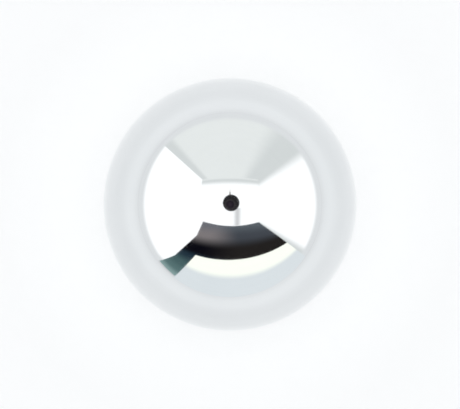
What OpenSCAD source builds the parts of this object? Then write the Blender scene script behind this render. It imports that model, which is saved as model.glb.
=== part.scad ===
/*
  Loose steel ball: one solid sphere of hardened steel, ground and lapped
  to a mirror finish. The origin is the ball's centre, with +Z up.
*/

/* [Ball] */
// Diameter of the ball
ball_d = 8; // [2:0.5:25]

/* [Hidden] */

// sides of a great circle where the ball is drawn as a mesh
$fn = 128;

polished_steel = [0.79, 0.80, 0.80];

// The whole ball: a true sphere with no flat, seam, hole or parting line,
// so that it rolls the same way over every point of its surface.
module ball() {
    color(polished_steel)
        sphere(d = ball_d);
}

ball();
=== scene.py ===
"""Looks of the loose steel ball: a lapped, mirror-bright ball on a white sheet inside a small light tent.

The ball is a mirror, so what it looks like is what stands round it. The tent has white side walls and
top, a grey-green back wall, and an open front with a side curtain and a low flap, between which the
dark room shows. Only the ball's reflections meet its panels. All sizes are in metres. The origin is
the ball's centre, +Y is the back of the tent and +Z is up.
"""

import math

import bpy
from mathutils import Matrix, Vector


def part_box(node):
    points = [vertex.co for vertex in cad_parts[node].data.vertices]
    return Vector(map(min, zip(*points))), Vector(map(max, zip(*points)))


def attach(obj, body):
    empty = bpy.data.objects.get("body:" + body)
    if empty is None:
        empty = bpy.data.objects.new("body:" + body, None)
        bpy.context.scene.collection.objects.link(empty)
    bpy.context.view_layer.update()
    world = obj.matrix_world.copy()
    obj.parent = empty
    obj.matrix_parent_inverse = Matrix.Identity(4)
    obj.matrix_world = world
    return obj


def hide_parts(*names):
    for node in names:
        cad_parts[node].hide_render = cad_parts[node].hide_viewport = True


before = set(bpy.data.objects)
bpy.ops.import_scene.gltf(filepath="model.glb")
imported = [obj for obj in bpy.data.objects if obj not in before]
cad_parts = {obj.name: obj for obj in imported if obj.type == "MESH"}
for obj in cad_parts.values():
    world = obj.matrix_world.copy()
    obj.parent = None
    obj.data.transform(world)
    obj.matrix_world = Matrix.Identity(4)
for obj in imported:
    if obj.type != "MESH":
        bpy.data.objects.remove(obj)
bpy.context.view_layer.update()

# The ball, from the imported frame
BALL_LOW, BALL_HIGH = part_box("ball")
BALL_RADIUS = BALL_HIGH.z
BALL_CUTS = 64  # quads along each edge of the cube that the ball's mesh is blown up from
ATLAS_COLUMNS = 3  # the cube's six sides lie on the ball's UV map in so many columns and rows
ATLAS_ROWS = 2
ATLAS_MARGIN = 0.01  # clear border of each side, as a share of the map

# The steel: a cloud of haze in its colour and its roughness, and hairline lapping marks
CLOUD_SCALE = 420.0  # a patch of haze is about 2.4 mm wide
CLOUD_DETAIL = 4.0
CLOUD_COARSENESS = 0.55
CLEAR_BELOW = 0.3  # the steel is clear where the cloud's value, from 0 to 1, is under this
HAZY_ABOVE = 0.7  # and at its haziest over this
CLEAR_STEEL = (0.757, 0.777, 0.787)
HAZY_STEEL = (0.775, 0.793, 0.803)
CLEAR_ROUGHNESS = 0.035
HAZY_ROUGHNESS = 0.07
HAIRLINE_SCALE = 900.0  # a mark is about 1.1 mm long
HAIRLINE_DETAIL = 3.0
HAIRLINE_SQUEEZE = (1, 1, 14)  # and a 14th as wide
HAIRLINE_TURN = (0.6, 0.3, 0.9)  # keeps the noise's own grid askew to the ball's axes
HAIRLINE_FADE = [(0.35, 0.994), (0.6, 1.0)]  # how much of the steel's colour is left in a mark
HAIRLINE_DEPTH = 2e-7
HAIRLINE_STRENGTH = 0.15

# The light tent
FLOOR_Z = BALL_LOW.z
TENT_TOP = 0.36
TENT_SIDE = 0.18
TENT_BACK = 0.162
FRONT_AT_TOP_LEFT = -0.1025  # the open front leans outwards towards its foot
FRONT_AT_TOP_RIGHT = -0.111
FRONT_AT_FOOT = -0.124
TOP_SAG = 0.0195  # how far the top's front edge bows outwards in its middle
TOP_EDGE_STEPS = 12
FLAP_LEFT_AT_FOOT = -0.096
FLAP_LEFT_AT_TOP = -0.081
FLAP_TOP_LEFT = 0.0943  # the flap sags towards its free end
FLAP_TOP_RIGHT = 0.1025
CURTAIN_AT_FOOT = -0.158  # the left curtain's free edge
CURTAIN_AT_KNEE = -0.131
CURTAIN_KNEE_Z = 0.06  # below this it is pushed aside
CURTAIN_AT_TIE = -0.122
CURTAIN_TIE_Z = 0.19  # above this it is drawn back
CURTAIN_AT_TOP = -0.165
SHEET_TURN_UP = 0.014  # how high the white sheet turns up at the foot of each wall
SHEET_TURN_SOFT = 0.016  # over which it fades into the wall
ROOM_DISTANCE = 1.5  # how far in front of the ball the dark room's wall stands
ROOM_HALF_WIDTH = 4.0
ROOM_HEIGHT = 6.0

# The hole in the tent's top, with the camera's lens in it
HOLE_RADIUS = 0.0465
HOLE_CENTRE_X = 0.0065
HOLE_CENTRE_Y = 0.009
HOLE_SIDES = 64
SLIT_START_Y = 0.03  # the slit that lets the lens in starts out of sight, above the lens
SLIT_DARK_TO_Y = 0.04  # it is darkest up to here
SLIT_END_Y = 0.092  # and runs out here, towards the back
SLIT_HALF_WIDTH = 0.01
FOLD_X = 0.042  # the painted shade of a soft fold in the tent's top, from the hole to the front edge
FOLD_START_Y = -0.02
FOLD_END_Y = -0.122
FOLD_HALF_WIDTH = 0.03
LAYER = 0.002  # the slit and the fold's painted shade lie this far under the tent's top, and the lens as far again

# How brightly each cloth glows, as linear colours. The sheet near the ball comes to about 1.
WHITE_CLOTH = (1.36, 1.36, 1.36)
FOLD_SHADE = (0.8, 0.8, 0.81)
SHEET_EDGE = (0.93, 0.945, 0.955)
BACK_CLOTH = (1.025, 1.047, 1.03)
CORNER_SHADE = (0.845, 0.873, 0.866)
FLAP_RIM = (1.31, 1.33, 1.2)
FLAP_CLOTH = (0.915, 0.965, 0.992)

# How each panel's colour changes along one of its directions: pairs of a place and a colour
RIGHT_WALL_FADE = [  # from front to back
    (-0.12, CORNER_SHADE),
    (-0.095, WHITE_CLOTH),
    (0.1, WHITE_CLOTH),
    (0.145, CORNER_SHADE),
]
BACK_WALL_FADE = [  # from left to right
    (-0.158, CORNER_SHADE),
    (-0.13, BACK_CLOTH),
    (0.06, BACK_CLOTH),
    (0.13, CORNER_SHADE),
]
TOP_FADE = [  # from front to back
    (0.11, WHITE_CLOTH),
    (0.145, CORNER_SHADE),
    (TENT_BACK, BACK_CLOTH),
]
FOLD_FADE = [  # from left to right: painted shade, darkest along the fold's middle
    (FOLD_X - FOLD_HALF_WIDTH, WHITE_CLOTH),
    (FOLD_X, FOLD_SHADE),
    (FOLD_X + FOLD_HALF_WIDTH, WHITE_CLOTH),
]
FLAP_FADE = [  # upwards: its turned-over rim catches the light from both sides
    (FLOOR_Z, FLAP_CLOTH),
    (0.04, FLAP_CLOTH),
    (0.058, FLAP_RIM),
]
LENS_FADE = [  # outwards: dark glass with a faint painted reflection of its coating, a paler barrel ring as a painted highlight, and the shade of the hole
    (0.0, (0.04, 0.03, 0.042)),
    (0.022, (0.016, 0.012, 0.018)),
    (0.026, (0.072, 0.064, 0.066)),
    (0.031, (0.02, 0.018, 0.02)),
    (HOLE_RADIUS, (0.03, 0.028, 0.03)),
]
SLIT_FADE = [  # from front to back
    (SLIT_DARK_TO_Y, (0.2, 0.18, 0.17)),
    (SLIT_END_Y, (0.8, 0.77, 0.72)),
]

# The dark room's wall, upwards: teal low down, near black higher up, and paler again overhead
ROOM_LEFT_FADE = [
    (FLOOR_Z, (0.31, 0.45, 0.44)),
    (0.3, (0.12, 0.21, 0.21)),
    (0.6, (0.082, 0.15, 0.155)),
    (1.05, (0.02, 0.04, 0.06)),
    (1.35, (0.004, 0.004, 0.008)),
    (1.65, (0.004, 0.004, 0.008)),
    (2.6, (0.265, 0.237, 0.24)),
    (4.2, (0.19, 0.19, 0.215)),
]
ROOM_RIGHT_FADE = [
    (1.35, (0.022, 0.019, 0.018)),
    (1.7, (0.022, 0.019, 0.018)),
    (2.6, (0.07, 0.078, 0.094)),
    (4.2, (0.12, 0.14, 0.16)),
]
ROOM_LEFT_TO = -1.1  # the wall has its left side's colours up to here
ROOM_RIGHT_FROM = 0.5  # and its right side's from here

# The white sheet, by distance from the ball: how white its cloth is, darkened away from the ball as a
# painted fall-off of light, and a painted glow: a painted pool of light next to the ball, a painted shade
# ring about
# 12 mm out, and less glow further out. Outside the tent it falls off to a pale grey backdrop.
SHEET_REACH = 0.6
SHEET_CLOTH_AND_SHADE_FADE = [
    (0.03, 0.93),
    (0.08, 0.88),
    (0.18, 0.83),
    (0.29, 0.72),
]
SHEET_PAINTED_GLOW_FADE = [
    (0.004, 0.18),
    (0.008, 0.08),
    (0.012, 0.055),
    (0.025, 0.115),
    (0.05, 0.11),
    (0.18, 0.07),
    (0.29, 0.05),
]
BACKDROP = SHEET_CLOTH_AND_SHADE_FADE[-1][1] + SHEET_PAINTED_GLOW_FADE[-1][1]
DAYLIGHT = (0.985, 1.0, 1.012)

# The camera looks straight down from the hole in the tent's top
SENSOR = 36.0  # mm wide
IMAGE_WIDTH = 460
IMAGE_HEIGHT = 409
BALL_SHARE = 0.62  # of the picture's height
NEAREST_SEEN = 0.01
FARTHEST_SEEN = 10


def linked(obj):
    bpy.context.scene.collection.objects.link(obj)
    return obj


def mesh_object(name, places, faces, material):
    mesh = bpy.data.meshes.new(name)
    mesh.from_pydata([Vector(place) for place in places], [], faces)
    mesh.materials.append(material)
    mesh.update()
    return linked(bpy.data.objects.new(name, mesh))


# ---------------------------------------------------------------- nodes


def new_tree(data):
    data.use_nodes = True
    data.node_tree.nodes.clear()
    return data.node_tree


def node(tree, kind, sockets, **settings):
    """Adds a node. Each of its sockets is given a constant, or linked from another node's output."""
    made = tree.nodes.new("ShaderNode" + kind)
    for name, value in settings.items():
        setattr(made, name, value)
    for name, value in sockets.items():
        if isinstance(value, bpy.types.NodeSocket):
            tree.links.new(value, made.inputs[name])
        else:
            made.inputs[name].default_value = value
    return made


def opaque(colour):
    """The four numbers of a colour that isn't see-through, from its three or from one grey."""
    if isinstance(colour, tuple):
        return (*colour, 1)
    return (colour, colour, colour, 1)


def fade(tree, value, stops):
    """A colour that changes along one value. Stops are pairs of a value and a grey or a colour."""
    first = stops[0][0]
    last = stops[-1][0]
    share = node(tree, "MapRange", {"Value": value, "From Min": first, "From Max": last})
    made = node(tree, "ValToRGB", {"Fac": share.outputs["Result"]})
    ramp = made.color_ramp
    ramp.interpolation = "EASE"
    while len(ramp.elements) < len(stops):
        ramp.elements.new(0.5)
    for element, (place, colour) in zip(ramp.elements, stops):
        element.position = (place - first) / (last - first)
        element.color = opaque(colour)
    return made.outputs["Color"]


def product(tree, first, second):
    return node(tree, "VectorMath", {0: first, 1: second}, operation="MULTIPLY").outputs["Vector"]


def larger(tree, first, second):
    return node(tree, "Math", {0: first, 1: second}, operation="MAXIMUM").outputs["Value"]


def blend(tree, share, first, second):
    """A mix of two colours, each of them a constant or another node's output."""
    # The node has sockets for every kind of data. Those of its colours are inputs 6 and 7 and output 2.
    return node(tree, "Mix", {"Factor": share, 6: first, 7: second}, data_type="RGBA").outputs[2]


def smooth_share(tree, value, start, end):
    """How far a value has come from start to end, from 0 to 1, easing in and out."""
    ends = {"Value": value, "From Min": start, "From Max": end}
    return node(tree, "MapRange", ends, interpolation_type="SMOOTHSTEP").outputs["Result"]


def xyz(tree):
    """The three coordinates of the shaded point."""
    place = node(tree, "NewGeometry", {})
    return node(tree, "SeparateXYZ", {"Vector": place.outputs["Position"]}).outputs


def distance_from_axis(tree, x, y):
    """How far a place lies from the upright line through the ball's centre and the lens's."""
    flat = node(tree, "CombineXYZ", {"X": x, "Y": y})
    return node(tree, "VectorMath", {0: flat.outputs["Vector"]}, operation="LENGTH").outputs["Value"]


def glowing(name, colour_of):
    """A cloth that glows evenly in all directions. colour_of(tree, x, y, z) makes its colour."""
    material = bpy.data.materials.new(name)
    tree = new_tree(material)
    glow = node(tree, "Emission", {"Color": colour_of(tree, *xyz(tree))})
    node(tree, "OutputMaterial", {"Surface": glow.outputs["Emission"]})
    return material


# ---------------------------------------------------------------- the ball

# each side of the cube: which way it faces, and which way its columns run
CUBE_SIDES = [
    ((1, 0, 0), (0, 1, 0)),
    ((-1, 0, 0), (0, -1, 0)),
    ((0, 1, 0), (-1, 0, 0)),
    ((0, -1, 0), (1, 0, 0)),
    ((0, 0, 1), (1, 0, 0)),
    ((0, 0, -1), (1, 0, 0)),
]


def blown_cube(name, radius, cuts, material):
    """A ball of even quads: a cube's grid pushed out to the sphere, with no poles to pinch a reflection.

    Each corner is known by whole numbers from -cuts to cuts, one for each axis of the cube, so that
    neighbouring sides share the corners on their common edge. The UV map gives each side of the cube
    a square of its own.
    """
    places = []
    order = {}
    quads = []
    spots = []

    def corner(steps):
        """The number of a corner, which is placed first if it is new. Equal steps are equal angles."""
        if steps not in order:
            order[steps] = len(places)
            even = Vector(math.tan(math.pi / 4 * step / cuts) for step in steps)
            places.append(radius * even.normalized())
        return order[steps]

    for side, (out, along) in enumerate(CUBE_SIDES):
        out = Vector(out)
        along = Vector(along)
        across = out.cross(along)
        column = side % ATLAS_COLUMNS
        row = side // ATLAS_COLUMNS
        for i in range(cuts):
            for j in range(cuts):
                ring = [(i, j), (i + 1, j), (i + 1, j + 1), (i, j + 1)]
                at = [cuts * out + (2 * a - cuts) * along + (2 * b - cuts) * across for a, b in ring]
                quads.append([corner(tuple(round(step) for step in place)) for place in at])
                for a, b in ring:
                    spots.append(atlas_place(column, a / cuts, ATLAS_COLUMNS))
                    spots.append(atlas_place(row, b / cuts, ATLAS_ROWS))
    ball = mesh_object(name, places, quads, material)
    ball.data.polygons.foreach_set("use_smooth", [True] * len(quads))
    ball.data.uv_layers.new(name="OFBake").data.foreach_set("uv", spots)
    return ball


def atlas_place(cell, share, cells):
    """Where a share of the way across a cell falls on a map of so many cells."""
    return cell / cells + ATLAS_MARGIN + share * (1 / cells - 2 * ATLAS_MARGIN)


def polished_steel():
    """Lapped steel: a clean mirror with a trace of uneven haze and hairline lapping marks."""
    material = bpy.data.materials.new("polished_steel")
    tree = new_tree(material)
    place = node(tree, "TexCoord", {}).outputs["Object"]
    cloud = haze_cloud(tree, place)
    hairline = hairline_marks(tree, place)
    tone = fade(tree, cloud, [(CLEAR_BELOW, CLEAR_STEEL), (HAZY_ABOVE, HAZY_STEEL)])
    roughness = node(
        tree,
        "MapRange",
        {
            "Value": cloud,
            "From Min": CLEAR_BELOW,
            "From Max": HAZY_ABOVE,
            "To Min": CLEAR_ROUGHNESS,
            "To Max": HAZY_ROUGHNESS,
        },
    )
    relief = {"Height": hairline, "Strength": HAIRLINE_STRENGTH, "Distance": HAIRLINE_DEPTH}
    steel = node(
        tree,
        "BsdfPrincipled",
        {
            "Base Color": product(tree, tone, fade(tree, hairline, HAIRLINE_FADE)),
            "Metallic": 1.0,
            "Roughness": roughness.outputs["Result"],
            "Normal": node(tree, "Bump", relief).outputs["Normal"],
        },
    )
    node(tree, "OutputMaterial", {"Surface": steel.outputs["BSDF"]})
    return material


def haze_cloud(tree, place):
    look = {"Scale": CLOUD_SCALE, "Detail": CLOUD_DETAIL, "Roughness": CLOUD_COARSENESS}
    return node(tree, "TexNoise", {"Vector": place, **look}).outputs["Fac"]


def hairline_marks(tree, place):
    drawn = node(tree, "Mapping", {"Vector": place, "Rotation": HAIRLINE_TURN, "Scale": HAIRLINE_SQUEEZE})
    look = {"Scale": HAIRLINE_SCALE, "Detail": HAIRLINE_DETAIL}
    return node(tree, "TexNoise", {"Vector": drawn.outputs["Vector"], **look}).outputs["Fac"]


# ---------------------------------------------------------------- the light tent


def reflected_only(obj):
    """The camera, the sheet and its shadows don't meet the tent: only the ball's reflections do."""
    obj.visible_camera = False
    obj.visible_diffuse = False
    obj.visible_transmission = False
    obj.visible_volume_scatter = False
    obj.visible_shadow = False


def panel(name, corners, colour_of):
    """A flat panel of the tent, with its corners in order round it."""
    reflected_only(mesh_object(name, corners, [range(len(corners))], glowing(name, colour_of)))


def turned_up_sheet(tree, z, cloth):
    """A wall's own cloth, above the white sheet that turns up at its foot."""
    top = FLOOR_Z + SHEET_TURN_UP
    above = smooth_share(tree, z, top, top + SHEET_TURN_SOFT)
    return blend(tree, above, opaque(SHEET_EDGE), cloth)


def left_wall_colour(tree, x, y, z):
    return turned_up_sheet(tree, z, opaque(WHITE_CLOTH))


def right_wall_colour(tree, x, y, z):
    return turned_up_sheet(tree, z, fade(tree, y, RIGHT_WALL_FADE))


def back_wall_colour(tree, x, y, z):
    return turned_up_sheet(tree, z, fade(tree, x, BACK_WALL_FADE))


def top_colour(tree, x, y, z):
    return fade(tree, y, TOP_FADE)


def flap_colour(tree, x, y, z):
    return fade(tree, z, FLAP_FADE)


def room_colour(tree, x, y, z):
    """The room's wall: warmer and brighter on the left than on the right."""
    left = fade(tree, z, ROOM_LEFT_FADE)
    right = fade(tree, z, ROOM_RIGHT_FADE)
    return blend(tree, smooth_share(tree, x, ROOM_LEFT_TO, ROOM_RIGHT_FROM), left, right)


def lens_colour(tree, x, y, z):
    return fade(tree, distance_from_axis(tree, x, y), LENS_FADE)


def fold_shade_colour(tree, x, y, z):
    return fade(tree, x, FOLD_FADE)


def slit_colour(tree, x, y, z):
    return fade(tree, y, SLIT_FADE)


def front(x, z):
    """A place in the open front, which leans outwards towards its foot."""
    upwards = (z - FLOOR_Z) / (TENT_TOP - FLOOR_Z)
    rightwards = (x + TENT_SIDE) / (2 * TENT_SIDE)
    at_top = FRONT_AT_TOP_LEFT + rightwards * (FRONT_AT_TOP_RIGHT - FRONT_AT_TOP_LEFT)
    return (x, FRONT_AT_FOOT + upwards * (at_top - FRONT_AT_FOOT), z)


def build_tent():
    side, back, top, low = TENT_SIDE, TENT_BACK, TENT_TOP, FLOOR_Z
    left_wall = [front(-side, low), (-side, back, low), (-side, back, top), front(-side, top)]
    right_wall = [(side, back, low), front(side, low), front(side, top), (side, back, top)]
    back_wall = [(-side, back, low), (side, back, low), (side, back, top), (-side, back, top)]
    curtain = [
        front(-side, low),
        front(CURTAIN_AT_FOOT, low),
        front(CURTAIN_AT_KNEE, CURTAIN_KNEE_Z),
        front(CURTAIN_AT_TIE, CURTAIN_TIE_Z),
        front(CURTAIN_AT_TOP, top),
        front(-side, top),
    ]
    flap = [
        front(FLAP_LEFT_AT_FOOT, low),
        front(side, low),
        front(side, FLAP_TOP_RIGHT),
        front(FLAP_LEFT_AT_TOP, FLAP_TOP_LEFT),
    ]
    panel("left_wall", left_wall, left_wall_colour)
    panel("right_wall", right_wall, right_wall_colour)
    panel("back_wall", back_wall, back_wall_colour)
    panel("left_curtain", curtain, left_wall_colour)
    panel("front_flap", flap, flap_colour)
    panel("tent_top", [(side, back, top), (-side, back, top), *sagging_edge()], top_colour)


def sagging_edge():
    """The front edge of the tent's top, from left to right, bowed outwards in its middle."""
    edge = []
    for step in range(TOP_EDGE_STEPS + 1):
        share = step / TOP_EDGE_STEPS
        x, y, z = front(TENT_SIDE * (2 * share - 1), TENT_TOP)
        edge.append((x, y - TOP_SAG * math.sin(math.pi * share), z))
    return edge


def build_hole():
    """The round hole in the tent's top with the lens in it, the slit that lets the lens in, and the
    painted shade of a fold.
    """
    slit_z = TENT_TOP - LAYER
    lens_z = slit_z - LAYER
    turns = [math.tau * step / HOLE_SIDES for step in range(HOLE_SIDES)]
    rim = [
        (
            HOLE_CENTRE_X + HOLE_RADIUS * math.cos(turn),
            HOLE_CENTRE_Y + HOLE_RADIUS * math.sin(turn),
            lens_z,
        )
        for turn in turns
    ]
    slit = [
        (-SLIT_HALF_WIDTH, SLIT_START_Y, slit_z),
        (SLIT_HALF_WIDTH, SLIT_START_Y, slit_z),
        (0, SLIT_END_Y, slit_z),
    ]
    fold_left = FOLD_X - FOLD_HALF_WIDTH
    fold_right = FOLD_X + FOLD_HALF_WIDTH
    painted_fold_shade = [
        (fold_left, FOLD_START_Y, slit_z),
        (fold_right, FOLD_START_Y, slit_z),
        (fold_right, FOLD_END_Y, slit_z),
        (fold_left, FOLD_END_Y, slit_z),
    ]
    panel("lens", rim, lens_colour)
    panel("slit", slit, slit_colour)
    panel("painted_fold_shade", painted_fold_shade, fold_shade_colour)


def build_room():
    wide, far, low, high = ROOM_HALF_WIDTH, -ROOM_DISTANCE, FLOOR_Z, ROOM_HEIGHT
    wall = [(-wide, far, low), (wide, far, low), (wide, far, high), (-wide, far, high)]
    panel("dark_room", wall, room_colour)


# ---------------------------------------------------------------- the sheet, the light and the camera


def white_sheet():
    """White cloth that the daylight falls on, with painted shade away from the ball and a painted glow,
    brightest next to it.
    """
    material = bpy.data.materials.new("white_sheet")
    tree = new_tree(material)
    x, y, _ = xyz(tree)
    away = distance_from_axis(tree, x, y)
    # the cloth's white, with painted shade that darkens it away from the ball
    cloth = node(tree, "BsdfDiffuse", {"Color": fade(tree, away, SHEET_CLOTH_AND_SHADE_FADE)})
    # painted glow: a painted pool of light next to the ball and a painted shade ring about 12 mm out
    glow = node(tree, "Emission", {"Color": fade(tree, away, SHEET_PAINTED_GLOW_FADE)})
    both = node(tree, "AddShader", {0: cloth.outputs["BSDF"], 1: glow.outputs["Emission"]})
    node(tree, "OutputMaterial", {"Surface": both.outputs["Shader"]})
    return material


def build_sheet():
    r = SHEET_REACH
    corners = [(x, y, FLOOR_Z) for x, y in [(-r, -r), (r, -r), (r, r), (-r, r)]]
    mesh_object("sheet", corners, [range(4)], white_sheet())


def build_world():
    """Even daylight on the sheet, and the sheet's far grey as the backdrop that camera and metal see."""
    world = bpy.data.worlds.new("daylight")
    tree = new_tree(world)
    path = node(tree, "LightPath", {}).outputs
    seen = larger(tree, path["Is Camera Ray"], path["Is Glossy Ray"])
    seen = larger(tree, seen, path["Is Transmission Ray"])
    strength = node(tree, "MapRange", {"Value": seen, "To Min": 1.0, "To Max": BACKDROP})
    light = node(tree, "Background", {"Color": opaque(DAYLIGHT), "Strength": strength.outputs["Result"]})
    node(tree, "OutputWorld", {"Surface": light.outputs["Background"]})
    bpy.context.scene.world = world


def build_camera():
    camera = linked(bpy.data.objects.new("camera", bpy.data.cameras.new("camera")))
    camera.location = (0, 0, TENT_TOP)
    seen_height = 2 * BALL_RADIUS / BALL_SHARE
    seen_width = seen_height * IMAGE_WIDTH / IMAGE_HEIGHT
    camera.data.sensor_width = SENSOR
    camera.data.lens = SENSOR * TENT_TOP / seen_width
    camera.data.clip_start = NEAREST_SEEN
    camera.data.clip_end = FARTHEST_SEEN
    bpy.context.scene.camera = camera


ball = blown_cube("steel_ball", BALL_RADIUS, BALL_CUTS, polished_steel())
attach(ball, "root")
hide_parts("ball")

build_tent()
build_hole()
build_room()
build_sheet()
build_world()
build_camera()
bpy.context.scene.view_settings.view_transform = "Standard"
